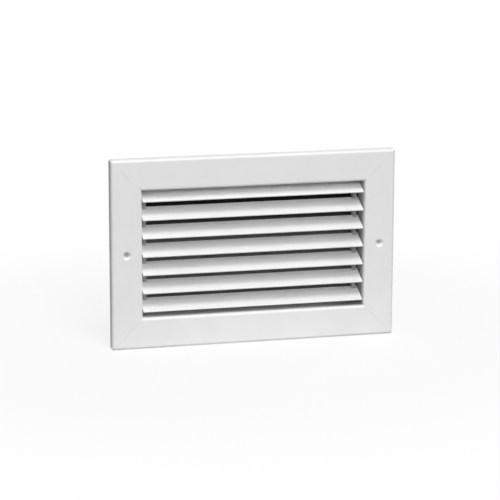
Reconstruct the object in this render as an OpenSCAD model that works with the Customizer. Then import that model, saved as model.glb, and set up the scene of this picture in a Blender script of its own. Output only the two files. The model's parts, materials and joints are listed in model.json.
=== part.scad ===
// Fixed-louvre return-air grille for a wall or ceiling duct opening.
// A mitred aluminium face frame carries a bank of seven sloped louvres. Each
// louvre has a rounded nose at the front and a round bead along its back edge,
// and the bead lies in keyhole notches cut in two upright mullion bars.
//
// Axes: X to the right, Y into the wall, Z up.
// Origin: half way between the two face screw holes, at the back of the face.

/* [Face frame] */
// Width of the clear opening between the collar walls
opening_w = 234.05; // [160:0.05:560]
// Width of the flat border, from its outer edge to the collar wall
border_w = 32.2; // [28:0.05:44]
// Thickness of the face, of its turned-back edge and of the collar
wall_t = 1.5; // [1.2:0.1:1.8]
// Thickness of the stiffening band behind the middle of the border
band_t = 2.8; // [2.6:0.1:3.4]
// Outside radius where the face turns back to the wall
edge_r = 3; // [2.2:0.1:4]
// Outside radius where the face turns into the collar
lip_r = 2.5; // [2.2:0.1:4]
// Depth of the turned-back outer edge, from the front of the face
return_d = 9.5; // [8:0.1:14]
// How far the collar reaches back past the mullions
collar_past = 0.25; // [0:0.05:12]
// Radius of the frame's four outer corners
corner_r = 2.5; // [0.5:0.1:3.4]
// Hairline gap across each mitred corner joint
mitre_gap = 0.12; // [0.04:0.02:0.3]

/* [Face screw holes] */
// Diameter of each hole
screw_hole_d = 4.5; // [3.5:0.1:5]
// Diameter of the countersink at the face
screw_sink_d = 8.9; // [7:0.1:9.4]
// Included angle of the countersink
screw_sink_angle = 90; // [82:1:100]

/* [Corner keys] */
// Width of a key's arms
key_w = 12; // [9:0.1:13]
// Thickness of a key
key_t = 2; // [1.5:0.1:2.4]
// Length of each arm, from the key's outer corner
key_arm = 42; // [30:1:55]
// Slack of a key in its channel, on each side
key_clear = 0.1; // [0.05:0.01:0.3]
// Thickness of the channel's side walls and of its lips
channel_t = 1.2; // [1:0.1:1.5]
// How far each lip hooks over the key
channel_lip = 1.7; // [1:0.1:2]
// Diameter of the staking hole in each arm
stake_d = 4; // [2.5:0.1:5]

/* [Louvres] */
// Distance from one louvre to the next
louvre_pitch = 19.05; // [17:0.05:26]
// Slope of a louvre, down towards the room
louvre_angle = 24; // [18:1:35]
// Distance from the centre of the nose to the centre of the bead
louvre_chord = 21.5; // [19:0.1:23]
// Thickness of a louvre between its nose and its bead
louvre_t = 1.3; // [1:0.1:1.5]
// Radius of the nose along the front edge
nose_r = 0.9; // [0.8:0.05:1.2]
// Radius of the bead along the back edge
bead_r = 1; // [0.9:0.05:1.4]
// How far the noses stand behind the front of the face
nose_set = 1; // [0.5:0.1:4]
// Height from the centre of the top louvre's bead to the collar above it
top_clear = 2.75; // [2.2:0.05:4]
// Height from the centre of the bottom louvre's bead to the collar below it
foot_clear = 15.4; // [14:0.05:20]
// Gap between a louvre's end and the collar wall
end_gap = 1.05; // [0.5:0.05:2]

/* [Mullions] */
// Width of a mullion bar
mullion_w = 4; // [4:0.1:6]
// Depth of a mullion bar
mullion_d = 7; // [6.5:0.1:10]
// Wall left in the mullion behind a bead
mullion_web = 2.6; // [2:0.1:4]
// How far the louvres run on past a mullion
louvre_past = 2.4; // [1:0.1:12]
// Slack round a bead and a louvre in their notch
notch_clear = 0.05; // [0.03:0.01:0.15]

/* [Mullion screws] */
// Diameter of the screw's shank
shank_d = 2.4; // [2:0.1:2.6]
// Length of the shank under the head
shank_len = 10; // [6:0.5:14]
// Diameter of the head
head_d = 5; // [4.5:0.1:6]
// Height of the head
head_h = 1.7; // [1.4:0.1:2.2]
// Radius of the head's rounded rim
head_r = 0.9; // [0.3:0.05:1]
// Slack of the shank in the mullion
thread_clear = 0.03; // [0.02:0.01:0.1]
// Slack of the shank in the collar, on each side
pass_clear = 0.25; // [0.1:0.05:0.4]

/* [Hidden] */
LOUVRES = 7;
EPS = 1;
ROUND = 64;
FACE = "white";
MILL = "silver";
STEEL = "lightgray";

opening_h = top_clear + (LOUVRES - 1) * louvre_pitch + foot_clear;
face_w = opening_w + 2 * border_w;
face_h = opening_h + 2 * border_w;
front_y = -band_t;

// Louvre bank
nose_y = front_y + nose_set + nose_r;
bead_y = nose_y + louvre_chord * cos(louvre_angle);
louvre_len = opening_w - 2 * end_gap;

// Mullions: the back of the bar follows the beads, and the collar follows the bar
mullion_back = bead_y + bead_r + notch_clear + mullion_web;
mullion_y = mullion_back - mullion_d / 2;
mullion_x = louvre_len / 2 - louvre_past - mullion_w / 2;
collar_d = mullion_back + collar_past - front_y;

// Key channel, along the middle of each rail
channel_u = border_w / 2;
channel_half = key_w / 2 + key_clear;
channel_in = key_t + key_clear;

// ---- Face frame ----

// Quarter bend of the sheet, with its outer corner at the origin
module bend(r) {
    intersection() {
        translate([r, r]) difference() {
            circle(r, $fn = ROUND);
            circle(r - wall_t, $fn = ROUND);
        }
        square(r);
    }
}

// One side of the key channel, drawn for the side nearer the outer edge
module channel_side() {
    translate([-channel_half - channel_t, 0])
        square([channel_t, channel_in + channel_t]);
    translate([-channel_half - channel_t, channel_in])
        square([channel_t + channel_lip, channel_t]);
}

// Section of a rail: x runs from the outer edge to the opening, y into the wall
module rail_profile() {
    translate([0, front_y]) {
        bend(edge_r);
        translate([0, edge_r]) square([wall_t, return_d - edge_r]);
        translate([edge_r, 0]) square([border_w - edge_r - lip_r, wall_t]);
        translate([border_w, 0]) mirror([1, 0]) bend(lip_r);
        translate([border_w - wall_t, lip_r]) square([wall_t, collar_d - lip_r]);
    }
    translate([channel_u, 0]) {
        translate([-channel_half - channel_t, front_y])
            square([2 * (channel_half + channel_t), band_t]);
        channel_side();
        mirror([1, 0]) channel_side();
    }
}

// Outline of a rail seen from the front, with its outer edge on the X axis: both
// ends cut at 45 degrees, and the two outer corners rounded
module mitre_outline(length) {
    set_back = mitre_gap / sqrt(2);
    outer = length / 2 + EPS - set_back;
    inner = length / 2 - border_w - EPS - set_back;
    corner_x = length / 2 - corner_r;
    intersection() {
        polygon([
            [-outer, EPS], [outer, EPS],
            [inner, -border_w - EPS], [-inner, -border_w - EPS]
        ]);
        union() {
            translate([-corner_x, -border_w - EPS])
                square([2 * corner_x, border_w + 2 * EPS]);
            translate([-length / 2, -border_w - EPS])
                square([length, border_w + EPS - corner_r]);
            for (side = [-1, 1])
                translate([side * corner_x, -corner_r]) circle(corner_r, $fn = ROUND);
        }
    }
}

module mitre_block(length) {
    rotate([90, 0, 0])
        linear_extrude(height = 4 * collar_d, center = true)
            mitre_outline(length);
}

// A rail that runs along X, with its outer edge on the X axis and its border below
module rail(length) {
    intersection() {
        rotate([0, 90, 0])
            linear_extrude(height = length, center = true)
                rail_profile();
        mitre_block(length);
    }
}

// Countersunk hole for a face screw
module face_screw_hole() {
    sink_depth = (screw_sink_d - screw_hole_d) / 2 / tan(screw_sink_angle / 2);
    slope = tan(screw_sink_angle / 2);
    rotate([-90, 0, 0]) {
        translate([0, 0, front_y - EPS])
            cylinder(d = screw_hole_d, h = band_t + 2 * EPS, $fn = ROUND);
        translate([0, 0, front_y - EPS])
            cylinder(
                r1 = screw_sink_d / 2 + EPS * slope,
                r2 = screw_hole_d / 2,
                h = sink_depth + EPS,
                $fn = ROUND
            );
    }
}

// Top or bottom rail, with the two holes for the mullion screws in its collar
module long_rail() {
    translate([0, 0, face_h / 2]) difference() {
        rail(face_w);
        for (side = [-1, 1])
            translate([side * mullion_x, mullion_y, -border_w - EPS])
                cylinder(d = shank_d + 2 * pass_clear, h = wall_t + 2 * EPS, $fn = ROUND);
    }
}

// Left or right rail, drawn as if on top, with its face screw hole
module short_rail() {
    translate([0, 0, face_w / 2]) difference() {
        rail(face_h);
        translate([0, 0, -channel_u]) face_screw_hole();
    }
}

module frame_top() {
    color(FACE) long_rail();
}

module frame_bottom() {
    color(FACE) rotate([0, 180, 0]) long_rail();
}

module frame_left() {
    color(FACE) rotate([0, -90, 0]) short_rail();
}

module frame_right() {
    color(FACE) rotate([0, 90, 0]) short_rail();
}

// ---- Corner keys ----

// Right-angled key for the top right corner, lying on the back of the band
module corner_key() {
    tip = key_w / 6;
    corner_x = face_w / 2 - channel_u + key_w / 2;
    corner_z = face_h / 2 - channel_u + key_w / 2;
    color(MILL)
        translate([corner_x, key_t, corner_z])
            rotate([90, 0, 0])
                linear_extrude(height = key_t)
                    difference() {
                        polygon([
                            [-tip, 0], [-key_arm + tip, 0], [-key_arm, -tip],
                            [-key_arm, -key_w + tip], [-key_arm + tip, -key_w],
                            [-key_w, -key_w], [-key_w, -key_arm + tip],
                            [-key_w + tip, -key_arm], [-tip, -key_arm],
                            [0, -key_arm + tip], [0, -tip]
                        ]);
                        translate([-(key_arm + key_w) / 2, -key_w / 2])
                            circle(d = stake_d, $fn = ROUND);
                        translate([-key_w / 2, -(key_arm + key_w) / 2])
                            circle(d = stake_d, $fn = ROUND);
                    }
}

module corner_key_top_right() {
    corner_key();
}

module corner_key_top_left() {
    mirror([1, 0, 0]) corner_key();
}

module corner_key_bottom_right() {
    mirror([0, 0, 1]) corner_key();
}

module corner_key_bottom_left() {
    rotate([0, 180, 0]) corner_key();
}

// ---- Louvres ----

// Places a louvre or its notch: the bead's centre is the origin of what is placed
module at_bead(index) {
    translate([0, bead_y, opening_h / 2 - top_clear - index * louvre_pitch])
        children();
}

// Lays a section drawn in depth and height along X
module along_x(length) {
    rotate([90, 0, 90])
        linear_extrude(height = length, center = true)
            children();
}

// Section of a louvre: bead at the origin, blade sloping down to the nose
module louvre_section() {
    rotate(louvre_angle) {
        circle(bead_r, $fn = ROUND);
        translate([-louvre_chord, -louvre_t / 2]) square([louvre_chord, louvre_t]);
        translate([-louvre_chord, 0]) circle(nose_r, $fn = ROUND);
    }
}

module louvre(index) {
    color(FACE) at_bead(index) along_x(louvre_len) louvre_section();
}

// ---- Mullions ----

// Keyhole that takes the bead, with a slot that lets the blade out to the front
module notch_section() {
    rotate(louvre_angle) {
        circle(bead_r + notch_clear, $fn = ROUND);
        translate([-2 * mullion_d, -louvre_t / 2 - notch_clear])
            square([2 * mullion_d, louvre_t + 2 * notch_clear]);
    }
}

// Upright bar between the top and bottom collar walls, drawn at X = 0
module mullion() {
    color(FACE) difference() {
        translate([0, mullion_y, 0])
            cube([mullion_w, mullion_d, opening_h], center = true);
        for (index = [0 : LOUVRES - 1])
            at_bead(index) along_x(mullion_w + 2 * EPS) notch_section();
        for (end = [0, 1])
            mirror([0, 0, end])
                translate([0, mullion_y, opening_h / 2 + wall_t - shank_len - thread_clear])
                    cylinder(
                        d = shank_d + 2 * thread_clear,
                        h = shank_len + EPS,
                        $fn = ROUND
                    );
    }
}

module mullion_left() {
    translate([-mullion_x, 0, 0]) mullion();
}

module mullion_right() {
    translate([mullion_x, 0, 0]) mullion();
}

// ---- Mullion screws ----

// Pan-head screw at X = 0, down through the top collar wall into the mullion
module mullion_screw() {
    color(STEEL)
        translate([0, mullion_y, opening_h / 2 + wall_t])
            rotate_extrude($fn = ROUND) {
                translate([0, -shank_len]) square([shank_d / 2, shank_len]);
                intersection() {
                    square([head_d / 2, head_h]);
                    union() {
                        square([head_d / 2 - head_r, head_h]);
                        square([head_d / 2, head_h - head_r]);
                        translate([head_d / 2 - head_r, head_h - head_r])
                            circle(head_r, $fn = ROUND);
                    }
                }
            }
}

module mullion_screw_top_left() {
    translate([-mullion_x, 0, 0]) mullion_screw();
}

module mullion_screw_top_right() {
    translate([mullion_x, 0, 0]) mullion_screw();
}

module mullion_screw_bottom_left() {
    mirror([0, 0, 1]) mullion_screw_top_left();
}

module mullion_screw_bottom_right() {
    mirror([0, 0, 1]) mullion_screw_top_right();
}

frame_top();
frame_bottom();
frame_left();
frame_right();
corner_key_top_left();
corner_key_top_right();
corner_key_bottom_left();
corner_key_bottom_right();
louvre(0);  // louvre_1
louvre(1);  // louvre_2
louvre(2);  // louvre_3
louvre(3);  // louvre_4
louvre(4);  // louvre_5
louvre(5);  // louvre_6
louvre(6);  // louvre_7
mullion_left();
mullion_right();
mullion_screw_top_left();
mullion_screw_top_right();
mullion_screw_bottom_left();
mullion_screw_bottom_right();
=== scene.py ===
# Fixed-louvre return-air grille: its finishes, its small screws, and a plain pale studio.
# Metres, +X right, +Y into the wall, +Z up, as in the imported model.

import json
import math

import bmesh
import bpy
from mathutils import Matrix, Vector


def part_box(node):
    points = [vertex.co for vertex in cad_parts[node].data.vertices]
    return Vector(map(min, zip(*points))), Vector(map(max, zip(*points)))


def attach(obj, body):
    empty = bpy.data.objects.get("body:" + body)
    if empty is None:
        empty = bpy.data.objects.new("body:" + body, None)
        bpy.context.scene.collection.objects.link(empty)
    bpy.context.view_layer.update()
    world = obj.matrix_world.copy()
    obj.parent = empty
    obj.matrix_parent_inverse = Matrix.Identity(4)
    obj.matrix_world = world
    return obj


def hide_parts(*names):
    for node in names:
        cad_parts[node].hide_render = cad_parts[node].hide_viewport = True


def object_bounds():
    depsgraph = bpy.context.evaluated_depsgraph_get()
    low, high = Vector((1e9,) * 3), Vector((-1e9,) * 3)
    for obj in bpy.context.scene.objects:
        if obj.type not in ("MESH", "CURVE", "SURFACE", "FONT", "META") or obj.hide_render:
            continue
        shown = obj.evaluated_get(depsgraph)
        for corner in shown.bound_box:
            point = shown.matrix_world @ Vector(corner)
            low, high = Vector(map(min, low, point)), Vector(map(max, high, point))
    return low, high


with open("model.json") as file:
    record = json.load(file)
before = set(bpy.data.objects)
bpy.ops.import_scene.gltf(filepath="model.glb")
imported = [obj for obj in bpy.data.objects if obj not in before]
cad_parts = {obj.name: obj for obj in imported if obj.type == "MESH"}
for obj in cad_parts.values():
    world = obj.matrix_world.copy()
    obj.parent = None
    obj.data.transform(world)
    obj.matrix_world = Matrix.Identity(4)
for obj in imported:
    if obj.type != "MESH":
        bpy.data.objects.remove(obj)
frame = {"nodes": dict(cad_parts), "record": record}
cadLow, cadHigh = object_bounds()
print("grille: frame loaded,", len(frame["nodes"]), "pieces")

mm = 0.001
white = (1.0, 1.0, 1.0, 1.0)
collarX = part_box("frame_right")[0].x  # half the opening's width, from its middle to the collar
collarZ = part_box("frame_top")[0].z    # and half its height
noiseLow, noiseHigh = 0.3, 0.7        # most values of a noise texture lie between these


def linearColour(hexColour):
    # sRGB hex, as a paint chart gives it, to the linear values a shader wants
    channels = [int(hexColour[i:i + 2], 16) / 255 for i in (1, 3, 5)]
    linear = [c / 12.92 if c <= 0.04045 else ((c + 0.055) / 1.055) ** 2.4 for c in channels]
    return (*linear, 1.0)


def perMetre(sizeMm):
    # texture scale at which one feature of the pattern is this many millimetres wide
    return 1 / (sizeMm * mm)


def addNode(tree, kind, inputs=None, **settings):
    # one shader node with its settings; an input is a plain value or another node's output
    node = tree.nodes.new(kind)
    for name, value in settings.items():
        setattr(node, name, value)
    for socket, value in (inputs or {}).items():
        if isinstance(value, bpy.types.NodeSocket):
            tree.links.new(value, node.inputs[socket])
        else:
            node.inputs[socket].default_value = value
    return node


def newMaterial(name):
    material = bpy.data.materials.new(name)
    material.use_nodes = True
    material.node_tree.nodes.clear()
    return material, material.node_tree


# Satin polyester powder coat, sprayed on aluminium from the front and baked: an even soft white
# with a broad low sheen, and the faint orange-peel ripple that melted powder sets to.
coat = {
    "thick": "#F4F4F4",      # full build, on the faces that the gun sees
    "thin": "#F1F1F1",       # a shade greyer where the build drops
    "patch": 38,             # mm, size of the slow drift in build
    "drift": (0.35, 0.65),   # noise values between which the build goes from thin to thick
    "peel": 2.2,             # mm, orange peel ripple
    "peelHeight": 0.010,     # mm
    "grain": 0.45,           # mm, powder grain; finer in life, coarse enough here to show close up
    "grainHeight": 0.003,    # mm
    "roughness": (0.40, 0.50),  # in the peel's hollows and on its crests
}

# Inside the collar, where the gun can't reach, grey stray powder lies on the aluminium; its grey is
# also painted shade, darkening the collar's inner walls and the mullion bars as shade deep in the
# opening would.
# The back gets a thin coat, because charged powder also wraps round the edges.
oversprayAndShade = {
    # the stray powder's grey, kept dark enough to stand for painted shade inside the collar as well
    "grey": "#9B9C9E",
    "dusty": "#B4B5B6",      # where more powder settled
    "settled": 9,            # mm, size of the dusty patches
    "inside": (0.0, 8.0, 1.0),  # from and to mm into the opening the coat gives out, and how far
    "outside": (7.0, 13.0, 0.25),  # the same on the collar's outer side
    "wallHalf": 0.75,        # mm, half the collar's wall, where its inner side ends
    "ragged": 4,             # mm, how far the edge of the coat wanders
    "back": 0.25,            # how far the coat gives out on faces turned to the wall
    "turned": (0.2, 0.8),    # the normal's Y, over which a face comes to count as the back
    "fromBelow": 0.8,        # how much of the coat still lands under the top rail
    "underside": (-0.9, -0.2),  # the normal's Z, over which a face stops being an underside
    "roughness": 0.55,
}


def oversprayAndShadeMask(tree, place, noise):
    # 0 where the coat is whole, 1 where only stray powder landed and painted shade darkens the
    # collar's inside;
    # the noise makes the edge ragged
    at = addNode(tree, "ShaderNodeSeparateXYZ", {"Vector": place})
    ragged = addNode(tree, "ShaderNodeMath", {
        0: noise, 1: oversprayAndShade["ragged"] * mm, 2: at.outputs["Y"]}, operation="MULTIPLY_ADD")
    middle = oversprayAndShade["ragged"] / 2  # the noise moves the edge by half of this on the whole
    ways = {}
    for side in ("inside", "outside"):
        start, end, share = oversprayAndShade[side]
        ways[side] = addNode(tree, "ShaderNodeMapRange", {
            "Value": ragged.outputs[0],
            "From Min": (start + middle) * mm, "From Max": (end + middle) * mm,
            "To Max": share}, interpolation_type="SMOOTHSTEP").outputs["Result"]
    wallHalf = oversprayAndShade["wallHalf"] * mm
    across = addNode(tree, "ShaderNodeMath", {0: at.outputs["X"]}, operation="ABSOLUTE")
    upward = addNode(tree, "ShaderNodeMath", {0: at.outputs["Z"]}, operation="ABSOLUTE")
    inX = addNode(tree, "ShaderNodeMath", {
        0: across.outputs[0], 1: collarX + wallHalf}, operation="LESS_THAN")
    inZ = addNode(tree, "ShaderNodeMath", {
        0: upward.outputs[0], 1: collarZ + wallHalf}, operation="LESS_THAN")
    within = addNode(tree, "ShaderNodeMath", {
        0: inX.outputs[0], 1: inZ.outputs[0]}, operation="MULTIPLY")
    facing = addNode(tree, "ShaderNodeSeparateXYZ", {
        "Vector": addNode(tree, "ShaderNodeNewGeometry").outputs["Normal"]})
    reached = addNode(tree, "ShaderNodeMapRange", {
        "Value": facing.outputs["Z"],
        "From Min": oversprayAndShade["underside"][0], "From Max": oversprayAndShade["underside"][1],
        "To Min": 1 - oversprayAndShade["fromBelow"]})
    unsprayedAndShaded = addNode(tree, "ShaderNodeMath", {
        0: within.outputs[0], 1: reached.outputs["Result"]}, operation="MULTIPLY")
    inner = addNode(tree, "ShaderNodeMath", {
        0: unsprayedAndShaded.outputs[0], 1: ways["inside"]}, operation="MULTIPLY")
    turned = addNode(tree, "ShaderNodeMapRange", {
        "Value": facing.outputs["Y"],
        "From Min": oversprayAndShade["turned"][0], "From Max": oversprayAndShade["turned"][1],
        "To Max": oversprayAndShade["back"]})
    outer = addNode(tree, "ShaderNodeMath", {
        0: turned.outputs["Result"], 1: ways["outside"]}, operation="MAXIMUM")
    return addNode(tree, "ShaderNodeMath", {
        0: inner.outputs[0], 1: outer.outputs[0]}, operation="MAXIMUM").outputs[0]


def powderCoat(name, shadedInside):
    material, tree = newMaterial(name)
    place = addNode(tree, "ShaderNodeTexCoord").outputs["Object"]
    drift = addNode(tree, "ShaderNodeTexNoise", {
        "Vector": place, "Scale": perMetre(coat["patch"]), "Detail": 3.0, "Roughness": 0.45})
    peel = addNode(tree, "ShaderNodeTexNoise", {
        "Vector": place, "Scale": perMetre(coat["peel"]), "Detail": 1.0, "Roughness": 0.4})
    grain = addNode(tree, "ShaderNodeTexNoise", {
        "Vector": place, "Scale": perMetre(coat["grain"]), "Detail": 2.0, "Roughness": 0.5})
    build = addNode(tree, "ShaderNodeMapRange", {
        "Value": drift.outputs["Fac"], "From Min": coat["drift"][0], "From Max": coat["drift"][1]})
    colour = addNode(tree, "ShaderNodeMix", {
        "Factor": build.outputs["Result"],
        "A": linearColour(coat["thin"]), "B": linearColour(coat["thick"])}, data_type="RGBA")
    sheen = addNode(tree, "ShaderNodeMapRange", {
        "Value": peel.outputs["Fac"], "From Min": noiseLow, "From Max": noiseHigh,
        "To Min": coat["roughness"][0], "To Max": coat["roughness"][1]})
    ripple = addNode(tree, "ShaderNodeBump", {
        "Height": peel.outputs["Fac"], "Strength": 1.0, "Distance": coat["peelHeight"] * mm})
    surface = addNode(tree, "ShaderNodeBump", {
        "Height": grain.outputs["Fac"], "Strength": 1.0, "Distance": coat["grainHeight"] * mm,
        "Normal": ripple.outputs["Normal"]})
    seen = colour.outputs["Result"]
    rough = sheen.outputs["Result"]
    if shadedInside:
        # inside the collar the coat goes grey: stray powder, and painted shade where the opening is
        # deep
        settled = addNode(tree, "ShaderNodeTexNoise", {
            "Vector": place, "Scale": perMetre(oversprayAndShade["settled"]),
            "Detail": 5.0, "Roughness": 0.65})
        dustAndShade = addNode(tree, "ShaderNodeMix", {
            "Factor": settled.outputs["Fac"],
            "A": linearColour(oversprayAndShade["grey"]), "B": linearColour(oversprayAndShade["dusty"])},
            data_type="RGBA")
        bareAndShaded = oversprayAndShadeMask(tree, place, settled.outputs["Fac"])
        seen = addNode(tree, "ShaderNodeMix", {
            "Factor": bareAndShaded, "A": seen, "B": dustAndShade.outputs["Result"]},
            data_type="RGBA").outputs["Result"]
        rough = addNode(tree, "ShaderNodeMapRange", {
            "Value": bareAndShaded, "To Min": rough, "To Max": oversprayAndShade["roughness"]}).outputs["Result"]
    shader = addNode(tree, "ShaderNodeBsdfPrincipled", {
        "Base Color": seen, "Roughness": rough, "Normal": surface.outputs["Normal"]})
    addNode(tree, "ShaderNodeOutputMaterial", {"Surface": shader.outputs[0]})
    return material


# Mill-finish aluminium, as it leaves the die: bright grey metal with fine lines along the draw.
millFinish = {
    "light": "#C9CBCD",
    "dark": "#B4B6B9",
    "line": 0.5,           # mm, from one die line to the next
    "length": 30,          # mm, how far one line runs
    "lineHeight": 0.006,   # mm
    "roughness": (0.30, 0.44),
}


def millAluminium():
    material, tree = newMaterial("millFinishAluminium")
    place = addNode(tree, "ShaderNodeTexCoord").outputs["Object"]
    drawn = addNode(tree, "ShaderNodeMapping", {
        "Vector": place,
        "Scale": (perMetre(millFinish["length"]), perMetre(millFinish["line"]),
                  perMetre(millFinish["line"]))})
    lines = addNode(tree, "ShaderNodeTexNoise", {
        "Vector": drawn.outputs["Vector"], "Scale": 1.0, "Detail": 3.0, "Roughness": 0.6})
    colour = addNode(tree, "ShaderNodeMix", {
        "Factor": lines.outputs["Fac"],
        "A": linearColour(millFinish["dark"]), "B": linearColour(millFinish["light"])},
        data_type="RGBA")
    sheen = addNode(tree, "ShaderNodeMapRange", {
        "Value": lines.outputs["Fac"], "From Min": noiseLow, "From Max": noiseHigh,
        "To Min": millFinish["roughness"][0], "To Max": millFinish["roughness"][1]})
    surface = addNode(tree, "ShaderNodeBump", {
        "Height": lines.outputs["Fac"], "Strength": 1.0,
        "Distance": millFinish["lineHeight"] * mm})
    shader = addNode(tree, "ShaderNodeBsdfPrincipled", {
        "Base Color": colour.outputs["Result"], "Metallic": 1.0,
        "Roughness": sheen.outputs["Result"], "Normal": surface.outputs["Normal"]})
    addNode(tree, "ShaderNodeOutputMaterial", {"Surface": shader.outputs[0]})
    return material


# Bright zinc plate on a cold-headed steel screw: cool grey metal with a slightly cloudy shine.
zinc = {
    "light": "#CDD1D6",
    "dark": "#A9AEB6",
    "cloud": 1.6,          # mm, cloudy patches of the plating bath
    "grain": 0.12,         # mm, crystal grain
    "grainHeight": 0.002,  # mm
    "roughness": (0.20, 0.36),
}


def zincPlate():
    material, tree = newMaterial("brightZincPlate")
    place = addNode(tree, "ShaderNodeTexCoord").outputs["Object"]
    cloud = addNode(tree, "ShaderNodeTexNoise", {
        "Vector": place, "Scale": perMetre(zinc["cloud"]), "Detail": 3.0})
    grain = addNode(tree, "ShaderNodeTexNoise", {
        "Vector": place, "Scale": perMetre(zinc["grain"]), "Detail": 1.0})
    colour = addNode(tree, "ShaderNodeMix", {
        "Factor": cloud.outputs["Fac"],
        "A": linearColour(zinc["dark"]), "B": linearColour(zinc["light"])}, data_type="RGBA")
    sheen = addNode(tree, "ShaderNodeMapRange", {
        "Value": cloud.outputs["Fac"], "From Min": noiseLow, "From Max": noiseHigh,
        "To Min": zinc["roughness"][0], "To Max": zinc["roughness"][1]})
    surface = addNode(tree, "ShaderNodeBump", {
        "Height": grain.outputs["Fac"], "Strength": 1.0, "Distance": zinc["grainHeight"] * mm})
    shader = addNode(tree, "ShaderNodeBsdfPrincipled", {
        "Base Color": colour.outputs["Result"], "Metallic": 1.0,
        "Roughness": sheen.outputs["Result"], "Normal": surface.outputs["Normal"]})
    addNode(tree, "ShaderNodeOutputMaterial", {"Surface": shader.outputs[0]})
    return material


slotFinish = {
    "white_coat": powderCoat("satinPowderCoatAllRound", False),
    "mill_aluminium": millAluminium(),
    "zinc_steel": zincPlate(),
}
# the frame and the mullion bars wear the coat whose grey inside the collar is stray powder and
# painted shade
coatShadedInside = powderCoat("satinPowderCoatShadedInside", True)
for subpart in frame["record"]["subparts"]:
    node = subpart["node"]
    finish = slotFinish[subpart["material_slot"]]
    if node.startswith(("frame_", "mullion_left", "mullion_right")):
        finish = coatShadedInside
    mesh = frame["nodes"][node].data
    mesh.materials.clear()
    mesh.materials.append(finish)


# Cold-headed pan screws that hold the mullion bars: cross recess, rolled coarse thread, cone point.
panScrew = {
    "headHeight": 1.7 * mm,
    "rim": 0.9 * mm,         # height of the head's side below the dome
    "crown": 0.62,           # share of the head's radius that is the dome's flat middle
    "shank": 2.4 * mm,       # over the thread's crests
    "root": 1.9 * mm,        # between the crests
    "pitch": 1.06 * mm,
    "plain": 0.9 * mm,       # unthreaded neck under the head
    "point": 1.6 * mm,       # cone at the tip
    "tip": 0.12,             # size of the blunt end of the cone, as a share of the shank
    "around": 40,            # steps round the axis
    "perPitch": 8,           # steps along one turn of the thread
    "recess": 2.7 * mm,      # across the cross
    "recessDepth": 1.15 * mm,
    "wing": 0.62 * mm,       # width of one arm of the cross
    "draft": 0.62,           # size of the recess at its floor, as a share of its mouth
    "punchTop": 1.2,         # how high the punch stands, in heads
    "turn": 20.31,           # degrees, as the driver left the cross
}


def threadRadius(depth, turn, length):
    # crest and root follow a helix; the thread fades in below the neck and out towards the point
    crest = panScrew["shank"] / 2
    root = panScrew["root"] / 2
    phase = (depth / panScrew["pitch"] - turn) % 1
    wave = 1 - abs(2 * phase - 1)
    fadeIn = min(1, max(0, (depth - panScrew["plain"]) / panScrew["pitch"]))
    cone = min(1, (length - depth) / panScrew["point"])
    return (root + (crest - root) * wave * fadeIn) * max(cone, panScrew["tip"])


def headOutline(radius):
    # radius and height from the rim's foot up over the dome, as a pan head is struck
    rim = panScrew["rim"]
    rise = panScrew["headHeight"] - rim
    crown = panScrew["crown"]
    angles = [math.radians(step) for step in range(0, 91, 10)]
    return [(radius, 0.0)] + [
        (radius * (crown + (1 - crown) * math.cos(angle)), rim + rise * math.sin(angle))
        for angle in angles]


def screwBody(name, headRadius, length):
    # rings from the tip up: thread, neck, head; the axis is Z and the head's foot is at 0
    around = panScrew["around"]
    rings = []
    steps = int(length / (panScrew["pitch"] / panScrew["perPitch"]))
    for step in range(steps + 1):
        depth = length * (1 - step / steps)
        rings.append([(threadRadius(depth, turn / around, length), -depth) for turn in range(around)])
    for radius, height in headOutline(headRadius):
        rings.append([(radius, height)] * around)
    shape = bmesh.new()
    loops = []
    for ring in rings:
        loops.append([
            shape.verts.new((radius * math.cos(math.tau * turn / around),
                             radius * math.sin(math.tau * turn / around), height))
            for turn, (radius, height) in enumerate(ring)])
    for low, high in zip(loops, loops[1:]):
        for turn in range(around):
            after = (turn + 1) % around
            shape.faces.new((low[turn], low[after], high[after], high[turn]))
    shape.faces.new(list(reversed(loops[0])))
    shape.faces.new(loops[-1])
    return meshObject(name, shape)


def meshObject(name, shape):
    bmesh.ops.recalc_face_normals(shape, faces=shape.faces)
    mesh = bpy.data.meshes.new(name)
    shape.to_mesh(mesh)
    shape.free()
    obj = bpy.data.objects.new(name, mesh)
    bpy.context.scene.collection.objects.link(obj)
    return obj


def crossPunch(name):
    # the tool that strikes the cross recess: two crossed arms that narrow towards the floor
    shape = bmesh.new()
    mouth = panScrew["headHeight"] * panScrew["punchTop"]
    floor = panScrew["headHeight"] - panScrew["recessDepth"]
    for quarter in range(2):
        turn = Matrix.Rotation(math.radians(90 * quarter), 3, "Z")
        corners = []
        for height, share in ((floor, panScrew["draft"]), (mouth, 1.0)):
            reach = panScrew["recess"] / 2 * share
            width = panScrew["wing"] / 2 * share
            corners += [shape.verts.new(turn @ Vector((x * reach, y * width, height)))
                        for x, y in ((-1, -1), (1, -1), (1, 1), (-1, 1))]
        sides = [(low, (low + 1) % 4, (low + 1) % 4 + 4, low + 4) for low in range(4)]
        for face in [(0, 3, 2, 1), (4, 5, 6, 7)] + sides:
            shape.faces.new([corners[i] for i in face])
    return meshObject(name, shape)


def struck(obj, punch):
    # obj with punch cut out of it, as a plain mesh
    cut = obj.modifiers.new("recess", "BOOLEAN")
    cut.operation = "DIFFERENCE"
    cut.solver = "EXACT"
    cut.use_self = True
    cut.object = punch
    graph = bpy.context.evaluated_depsgraph_get()
    made = bpy.data.meshes.new_from_object(obj.evaluated_get(graph))
    obj.modifiers.clear()
    obj.data = made
    bpy.data.objects.remove(punch)
    return obj


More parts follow.
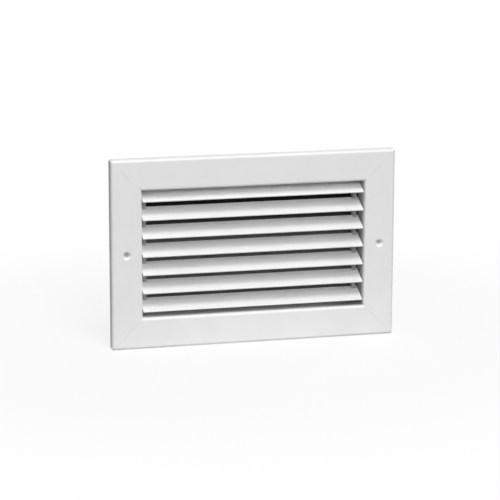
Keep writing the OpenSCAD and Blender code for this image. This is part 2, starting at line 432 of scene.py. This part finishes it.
def mullionScrew(node):
    low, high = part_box(node)
    fromAbove = low.z > 0
    length = high.z - low.z - panScrew["headHeight"]
    screw = struck(screwBody("scr_" + node, (high.x - low.x) / 2, length), crossPunch("punch"))
    foot = high.z - panScrew["headHeight"] if fromAbove else low.z + panScrew["headHeight"]
    centre = Matrix.Translation(((low.x + high.x) / 2, (low.y + high.y) / 2, foot))
    flip = Matrix.Rotation(0 if fromAbove else math.pi, 4, "X")
    turn = Matrix.Rotation(math.radians(panScrew["turn"]), 4, "Z")
    screw.data.transform(centre @ flip @ turn)
    screw.data.materials.clear()
    screw.data.materials.append(slotFinish["zinc_steel"])
    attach(screw, "root")
    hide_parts(node)


for node in frame["nodes"]:
    if node.startswith("mullion_screw"):
        mullionScrew(node)
print("grille: mullion screws cut")


studio = {
    "floorWidth": 12.0,      # m
    "floorPale": "#F4F4F2",
    "bounceNear": "#CACAC8",  # the paper by the grille's foot, as it lights it from below
    "bounceFar": "#5C5C5B",  # and farther off, as a small sweep of paper would
    "bounceFades": (0.08, 0.45),  # m from the grille
    "shadowKept": 0.16,      # share of lit paper in what is seen beside the grille
    "paperWhitens": (0.2, 0.6),  # m from the grille, over which the paper fades to plain white
    "worldFill": 0.02,       # soft light from all round
    "duct": "#656565",       # seen through the slots: a grey card that stands for the duct's shade
    "ductTop": "#262626",    # and through the upper ones: painted shade, darker where the top rail shades the duct
    "ductShades": (10 * mm, 36 * mm),  # above the middle, from the one grey to the other
    "wall": "#A8A8A8",       # seen through the screw holes
    "wallLow": "#D8D8D8",    # painted light: lighter low in the hole, where the lamp's light falls past its upper edge
    "wallShades": (-1 * mm, 1 * mm),   # across the middle of the hole
    "wallGap": 0.3 * mm,     # from the back of the face to the wall card
    "wallCard": 6 * mm,      # half the card's width
}


def seenDirectly(tree):
    # 1 for rays from the camera and for what metal and glass reflect or let through
    path = addNode(tree, "ShaderNodeLightPath")
    gloss = addNode(tree, "ShaderNodeMath", {
        0: path.outputs["Is Camera Ray"], 1: path.outputs["Is Glossy Ray"]}, operation="MAXIMUM")
    both = addNode(tree, "ShaderNodeMath", {
        0: gloss.outputs[0], 1: path.outputs["Is Transmission Ray"]}, operation="MAXIMUM")
    return both.outputs[0]


def oneSided(tree, shader):
    # clear from behind, so that a view from that side isn't shut out
    behind = addNode(tree, "ShaderNodeNewGeometry").outputs["Backfacing"]
    clear = addNode(tree, "ShaderNodeBsdfTransparent")
    return addNode(tree, "ShaderNodeMixShader", {
        0: behind, 1: shader.outputs[0], 2: clear.outputs[0]})


def paperFloor():
    material, tree = newMaterial("palePaperFloor")
    place = addNode(tree, "ShaderNodeTexCoord").outputs["Object"]
    away = addNode(tree, "ShaderNodeVectorMath", {0: place}, operation="LENGTH")
    fades = addNode(tree, "ShaderNodeMapRange", {
        "Value": away.outputs["Value"],
        "From Min": studio["bounceFades"][0], "From Max": studio["bounceFades"][1]})
    bounce = addNode(tree, "ShaderNodeMix", {
        "Factor": fades.outputs["Result"],
        "A": linearColour(studio["bounceNear"]), "B": linearColour(studio["bounceFar"])},
        data_type="RGBA")
    tint = addNode(tree, "ShaderNodeMix", {
        "Factor": addNode(tree, "ShaderNodeLightPath").outputs["Is Diffuse Ray"],
        "A": linearColour(studio["floorPale"]), "B": bounce.outputs["Result"]}, data_type="RGBA")
    paper = addNode(tree, "ShaderNodeBsdfDiffuse", {"Color": tint.outputs["Result"]})
    glow = addNode(tree, "ShaderNodeEmission", {"Color": white, "Strength": 1.0})
    whitens = addNode(tree, "ShaderNodeMapRange", {
        "Value": away.outputs["Value"],
        "From Min": studio["paperWhitens"][0], "From Max": studio["paperWhitens"][1],
        "To Min": 1 - studio["shadowKept"], "To Max": 1.0}, interpolation_type="SMOOTHSTEP")
    share = addNode(tree, "ShaderNodeMath", {
        0: seenDirectly(tree), 1: whitens.outputs["Result"]}, operation="MULTIPLY")
    seen = addNode(tree, "ShaderNodeMixShader", {
        0: share.outputs[0], 1: paper.outputs[0], 2: glow.outputs[0]})
    shader = oneSided(tree, seen)
    addNode(tree, "ShaderNodeOutputMaterial", {"Surface": shader.outputs[0]})
    return material


def mattCard(name, colour, colourAbove, fades):
    # matt colour that goes from one grey to another over the heights in fades: the painted shade and
    # light of the studio's cards
    material, tree = newMaterial(name)
    place = addNode(tree, "ShaderNodeSeparateXYZ", {
        "Vector": addNode(tree, "ShaderNodeTexCoord").outputs["Object"]})
    height = addNode(tree, "ShaderNodeMapRange", {
        "Value": place.outputs["Z"], "From Min": fades[0], "From Max": fades[1]})
    tint = addNode(tree, "ShaderNodeMix", {
        "Factor": height.outputs["Result"],
        "A": linearColour(colour), "B": linearColour(colourAbove)}, data_type="RGBA")
    matt = addNode(tree, "ShaderNodeBsdfDiffuse", {"Color": tint.outputs["Result"]})
    shader = oneSided(tree, matt)
    addNode(tree, "ShaderNodeOutputMaterial", {"Surface": shader.outputs[0]})
    return material


def card(name, corners, material):
    # a sheet of the studio with four corners
    mesh = bpy.data.meshes.new(name)
    mesh.from_pydata(corners, [], [(0, 1, 2, 3)])
    mesh.materials.append(material)
    obj = bpy.data.objects.new(name, mesh)
    bpy.context.scene.collection.objects.link(obj)
    return obj


def onlySeen(obj):
    # it takes no light from the grille and throws no shadow, so the back stays lit in other views
    obj.visible_diffuse = False
    obj.visible_shadow = False


def upright(middleX, halfX, halfZ, y):
    # corners of a card that stands at depth y and faces the room
    return [(middleX - halfX, y, -halfZ), (middleX + halfX, y, -halfZ),
            (middleX + halfX, y, halfZ), (middleX - halfX, y, halfZ)]


half = studio["floorWidth"] / 2
card("floor", [(-half, -half, cadLow.z), (half, -half, cadLow.z),
               (half, half, cadLow.z), (-half, half, cadLow.z)], paperFloor())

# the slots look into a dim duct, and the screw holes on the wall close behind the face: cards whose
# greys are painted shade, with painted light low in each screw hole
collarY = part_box("frame_top")[1].y
dimDuct = mattCard("dimDuct", studio["duct"], studio["ductTop"], studio["ductShades"])
onlySeen(card("ductBehind", upright(0, collarX, collarZ, collarY), dimDuct))
wallScrews = next(mount for mount in frame["record"]["mounts"] if mount["name"] == "wall_screws")
holeX = wallScrews["dims"]["spacing_x_mm"] / 2 * mm
wallWithPaintedLight = mattCard("wallWithPaintedLight", studio["wallLow"], studio["wall"], studio["wallShades"])
for side, x in (("Left", -holeX), ("Right", holeX)):
    corners = upright(x, studio["wallCard"], studio["wallCard"], studio["wallGap"])
    onlySeen(card("wallBehind" + side, corners, wallWithPaintedLight))


# 4 m off, so that the top and the bottom rail are lit alike
lamps = {
    "size": (1.6, 1.33),  # m, across and up
    "place": {
        "front": (0, -3.57, 1.8),
        "high": (0, -2.57, 3.06),
        "top": (0, -1.69, 3.63),
        "rear": (3.2, 2.3, 0.4),  # from the side, so that it lights the back and not the slots
    },
    "watts": {"front": 63, "high": 41, "top": 63, "rear": 86},
}


def softbox(name):
    place = lamps["place"][name]
    light = bpy.data.lights.new(name, "AREA")
    light.shape = "RECTANGLE"
    light.size, light.size_y = lamps["size"]
    light.energy = lamps["watts"][name]
    obj = bpy.data.objects.new(name, light)
    obj.location = place
    obj.rotation_euler = (-Vector(place)).to_track_quat("-Z", "Y").to_euler()
    bpy.context.scene.collection.objects.link(obj)


for name in lamps["place"]:
    softbox(name)

world = bpy.data.worlds.new("paleRoom")
world.use_nodes = True
worldTree = world.node_tree
worldTree.nodes.clear()
fill = addNode(worldTree, "ShaderNodeBackground", {
    "Color": white, "Strength": studio["worldFill"]})
backdrop = addNode(worldTree, "ShaderNodeBackground", {"Color": white, "Strength": 1.0})
mixed = addNode(worldTree, "ShaderNodeMixShader", {
    0: seenDirectly(worldTree), 1: fill.outputs[0], 2: backdrop.outputs[0]})
addNode(worldTree, "ShaderNodeOutputWorld", {"Surface": mixed.outputs[0]})
bpy.context.scene.world = world
bpy.context.scene.view_settings.view_transform = "Standard"
print("grille: studio ready")


camera = {
    "place": (-0.5327, -2.1335, 0.5056),
    "yaw": 13.91,     # degrees, turned from +Y towards +X
    "pitch": 12.979,  # degrees, looking down
    "roll": 0.18,     # degrees
    "lens": 158.5,    # mm
    "sensor": 36,     # mm
    "sees": (0.05, 50),  # m, nearest and farthest
}


def standCamera():
    # level and ahead come from yaw and pitch, and the roll turns the camera about its own axis
    yaw = math.radians(camera["yaw"])
    pitch = math.radians(camera["pitch"])
    ahead = Vector((
        math.sin(yaw) * math.cos(pitch), math.cos(yaw) * math.cos(pitch), -math.sin(pitch)))
    right = Vector((math.cos(yaw), -math.sin(yaw), 0))
    level = Matrix((right, right.cross(ahead), -ahead)).transposed()
    turn = level @ Matrix.Rotation(math.radians(camera["roll"]), 3, "Z")
    data = bpy.data.cameras.new("camera")
    data.sensor_width = camera["sensor"]
    data.lens = camera["lens"]
    data.clip_start, data.clip_end = camera["sees"]
    obj = bpy.data.objects.new("camera", data)
    obj.matrix_world = Matrix.Translation(camera["place"]) @ turn.to_4x4()
    bpy.context.scene.collection.objects.link(obj)
    bpy.context.scene.camera = obj


standCamera()
print("grille: camera set")
